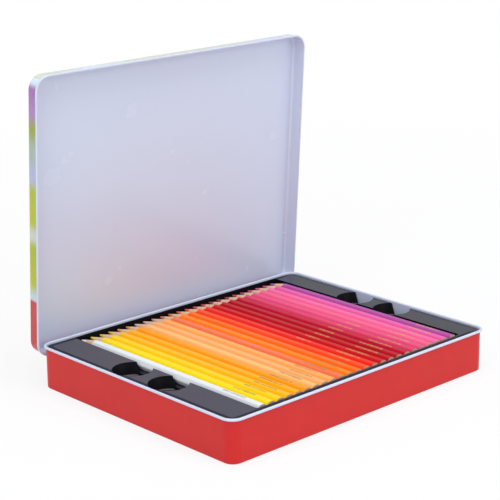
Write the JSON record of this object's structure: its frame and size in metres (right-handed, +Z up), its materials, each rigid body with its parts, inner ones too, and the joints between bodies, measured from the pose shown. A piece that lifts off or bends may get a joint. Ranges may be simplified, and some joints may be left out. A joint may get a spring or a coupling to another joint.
{
  "type": "colored pencil tin",
  "caption": "Flat rectangular tin with a hinged lid standing open on stacked lift-out trays of hexagonal coloured pencils.",
  "frame": {"origin": "middle of the tin's flat underside", "axes": "+X along the hinge to the right, -Y to the tin's front, +Z up"},
  "size_m": [0.2404, 0.1969, 0.2106],
  "materials": {
    "tin_red": "semi-gloss red outside, white enamel inside and on the rolled rim",
    "lid_enamel": "gloss white enamel inside, printed colour design outside",
    "hinge_steel": "plain wire",
    "tray_black": "satin thermoformed sheet",
    "lower_casings": "gloss lacquer, one colour per pencil",
    "lower_cores": "waxy",
    "casing_01": "gloss white lacquer on wood",
    "core_01": "waxy white core",
    "casing_02": "gloss lemon lacquer on wood",
    "core_02": "waxy lemon core",
    "casing_03": "gloss yellow lacquer on wood",
    "core_03": "waxy yellow core",
    "casing_04": "gloss golden yellow lacquer on wood",
    "core_04": "waxy golden yellow core",
    "casing_05": "gloss orange-yellow lacquer on wood",
    "core_05": "waxy orange-yellow core",
    "casing_06": "gloss deep yellow lacquer on wood",
    "core_06": "waxy deep yellow core",
    "casing_07": "gloss tan lacquer on wood",
    "core_07": "waxy tan core",
    "casing_08": "gloss peach lacquer on wood",
    "core_08": "waxy peach core",
    "casing_09": "gloss light orange lacquer on wood",
    "core_09": "waxy light orange core",
    "casing_10": "gloss coral lacquer on wood",
    "core_10": "waxy coral core",
    "casing_11": "gloss orange lacquer on wood",
    "core_11": "waxy orange core",
    "casing_12": "gloss deep orange lacquer on wood",
    "core_12": "waxy deep orange core",
    "casing_13": "gloss red-orange lacquer on wood",
    "core_13": "waxy red-orange core",
    "casing_14": "gloss vermilion lacquer on wood",
    "core_14": "waxy vermilion core",
    "casing_15": "gloss red lacquer on wood",
    "core_15": "waxy red core",
    "casing_16": "gloss signal red lacquer on wood",
    "core_16": "waxy signal red core",
    "casing_17": "gloss dark red lacquer on wood",
    "core_17": "waxy dark red core",
    "casing_18": "gloss crimson lacquer on wood",
    "core_18": "waxy crimson core",
    "casing_19": "gloss crimson-red lacquer on wood",
    "core_19": "waxy crimson-red core",
    "casing_20": "gloss magenta lacquer on wood",
    "core_20": "waxy magenta core",
    "casing_21": "gloss pink-coral lacquer on wood",
    "core_21": "waxy pink-coral core",
    "casing_22": "gloss pink lacquer on wood",
    "core_22": "waxy pink core",
    "casing_23": "gloss hot pink lacquer on wood",
    "core_23": "waxy hot pink core",
    "casing_24": "gloss orchid lacquer on wood",
    "core_24": "waxy orchid core"
  },
  "bodies": {
    "base": {"base_tin": "tin_red", "hinge_wire_left": "hinge_steel", "hinge_wire_right": "hinge_steel"},
    "lid": {"lid": "lid_enamel"},
    "bottom_tray": {"bottom_tray": "tray_black", "bottom_pencil_casings": "lower_casings", "bottom_pencil_cores": "lower_cores"},
    "middle_tray": {"middle_tray": "tray_black", "middle_pencil_casings": "lower_casings", "middle_pencil_cores": "lower_cores"},
    "top_tray": {"top_tray": "tray_black"},
    "pencil_01": {"pencil_01_casing": "casing_01", "pencil_01_core": "core_01"},
    "pencil_02": {"pencil_02_casing": "casing_02", "pencil_02_core": "core_02"},
    "pencil_03": {"pencil_03_casing": "casing_03", "pencil_03_core": "core_03"},
    "pencil_04": {"pencil_04_casing": "casing_04", "pencil_04_core": "core_04"},
    "pencil_05": {"pencil_05_casing": "casing_05", "pencil_05_core": "core_05"},
    "pencil_06": {"pencil_06_casing": "casing_06", "pencil_06_core": "core_06"},
    "pencil_07": {"pencil_07_casing": "casing_07", "pencil_07_core": "core_07"},
    "pencil_08": {"pencil_08_casing": "casing_08", "pencil_08_core": "core_08"},
    "pencil_09": {"pencil_09_casing": "casing_09", "pencil_09_core": "core_09"},
    "pencil_10": {"pencil_10_casing": "casing_10", "pencil_10_core": "core_10"},
    "pencil_11": {"pencil_11_casing": "casing_11", "pencil_11_core": "core_11"},
    "pencil_12": {"pencil_12_casing": "casing_12", "pencil_12_core": "core_12"},
    "pencil_13": {"pencil_13_casing": "casing_13", "pencil_13_core": "core_13"},
    "pencil_14": {"pencil_14_casing": "casing_14", "pencil_14_core": "core_14"},
    "pencil_15": {"pencil_15_casing": "casing_15", "pencil_15_core": "core_15"},
    "pencil_16": {"pencil_16_casing": "casing_16", "pencil_16_core": "core_16"},
    "pencil_17": {"pencil_17_casing": "casing_17", "pencil_17_core": "core_17"},
    "pencil_18": {"pencil_18_casing": "casing_18", "pencil_18_core": "core_18"},
    "pencil_19": {"pencil_19_casing": "casing_19", "pencil_19_core": "core_19"},
    "pencil_20": {"pencil_20_casing": "casing_20", "pencil_20_core": "core_20"},
    "pencil_21": {"pencil_21_casing": "casing_21", "pencil_21_core": "core_21"},
    "pencil_22": {"pencil_22_casing": "casing_22", "pencil_22_core": "core_22"},
    "pencil_23": {"pencil_23_casing": "casing_23", "pencil_23_core": "core_23"},
    "pencil_24": {"pencil_24_casing": "casing_24", "pencil_24_core": "core_24"}
  },
  "joints": [
    {"name": "lid_hinge", "type": "hinge", "parent": "base", "child": "lid", "pos_m": [0, 0.09375, 0.02168], "axis": [-1, 0, 0], "range_deg": [-86.5, 0]},
    {"name": "bottom_tray_lift", "type": "slide", "parent": "base", "child": "bottom_tray", "axis": [0, 0, 1], "range_m": [0, 0.03]},
    {"name": "middle_tray_lift", "type": "slide", "parent": "bottom_tray", "child": "middle_tray", "axis": [0, 0, 1], "range_m": [0, 0.03]},
    {"name": "top_tray_lift", "type": "slide", "parent": "middle_tray", "child": "top_tray", "axis": [0, 0, 1], "range_m": [0, 0.03]},
    {"name": "pencil_01_lift", "type": "slide", "parent": "top_tray", "child": "pencil_01", "axis": [0, 0, 1], "range_m": [0, 0.015]},
    {"name": "pencil_02_lift", "type": "slide", "parent": "top_tray", "child": "pencil_02", "axis": [0, 0, 1], "range_m": [0, 0.015]},
    {"name": "pencil_03_lift", "type": "slide", "parent": "top_tray", "child": "pencil_03", "axis": [0, 0, 1], "range_m": [0, 0.015]},
    {"name": "pencil_04_lift", "type": "slide", "parent": "top_tray", "child": "pencil_04", "axis": [0, 0, 1], "range_m": [0, 0.015]},
    {"name": "pencil_05_lift", "type": "slide", "parent": "top_tray", "child": "pencil_05", "axis": [0, 0, 1], "range_m": [0, 0.015]},
    {"name": "pencil_06_lift", "type": "slide", "parent": "top_tray", "child": "pencil_06", "axis": [0, 0, 1], "range_m": [0, 0.015]},
    {"name": "pencil_07_lift", "type": "slide", "parent": "top_tray", "child": "pencil_07", "axis": [0, 0, 1], "range_m": [0, 0.015]},
    {"name": "pencil_08_lift", "type": "slide", "parent": "top_tray", "child": "pencil_08", "axis": [0, 0, 1], "range_m": [0, 0.015]},
    {"name": "pencil_09_lift", "type": "slide", "parent": "top_tray", "child": "pencil_09", "axis": [0, 0, 1], "range_m": [0, 0.015]},
    {"name": "pencil_10_lift", "type": "slide", "parent": "top_tray", "child": "pencil_10", "axis": [0, 0, 1], "range_m": [0, 0.015]},
    {"name": "pencil_11_lift", "type": "slide", "parent": "top_tray", "child": "pencil_11", "axis": [0, 0, 1], "range_m": [0, 0.015]},
    {"name": "pencil_12_lift", "type": "slide", "parent": "top_tray", "child": "pencil_12", "axis": [0, 0, 1], "range_m": [0, 0.015]},
    {"name": "pencil_13_lift", "type": "slide", "parent": "top_tray", "child": "pencil_13", "axis": [0, 0, 1], "range_m": [0, 0.015]},
    {"name": "pencil_14_lift", "type": "slide", "parent": "top_tray", "child": "pencil_14", "axis": [0, 0, 1], "range_m": [0, 0.015]},
    {"name": "pencil_15_lift", "type": "slide", "parent": "top_tray", "child": "pencil_15", "axis": [0, 0, 1], "range_m": [0, 0.015]},
    {"name": "pencil_16_lift", "type": "slide", "parent": "top_tray", "child": "pencil_16", "axis": [0, 0, 1], "range_m": [0, 0.015]},
    {"name": "pencil_17_lift", "type": "slide", "parent": "top_tray", "child": "pencil_17", "axis": [0, 0, 1], "range_m": [0, 0.015]},
    {"name": "pencil_18_lift", "type": "slide", "parent": "top_tray", "child": "pencil_18", "axis": [0, 0, 1], "range_m": [0, 0.015]},
    {"name": "pencil_19_lift", "type": "slide", "parent": "top_tray", "child": "pencil_19", "axis": [0, 0, 1], "range_m": [0, 0.015]},
    {"name": "pencil_20_lift", "type": "slide", "parent": "top_tray", "child": "pencil_20", "axis": [0, 0, 1], "range_m": [0, 0.015]},
    {"name": "pencil_21_lift", "type": "slide", "parent": "top_tray", "child": "pencil_21", "axis": [0, 0, 1], "range_m": [0, 0.015]},
    {"name": "pencil_22_lift", "type": "slide", "parent": "top_tray", "child": "pencil_22", "axis": [0, 0, 1], "range_m": [0, 0.015]},
    {"name": "pencil_23_lift", "type": "slide", "parent": "top_tray", "child": "pencil_23", "axis": [0, 0, 1], "range_m": [0, 0.015]},
    {"name": "pencil_24_lift", "type": "slide", "parent": "top_tray", "child": "pencil_24", "axis": [0, 0, 1], "range_m": [0, 0.015]}
  ]
}
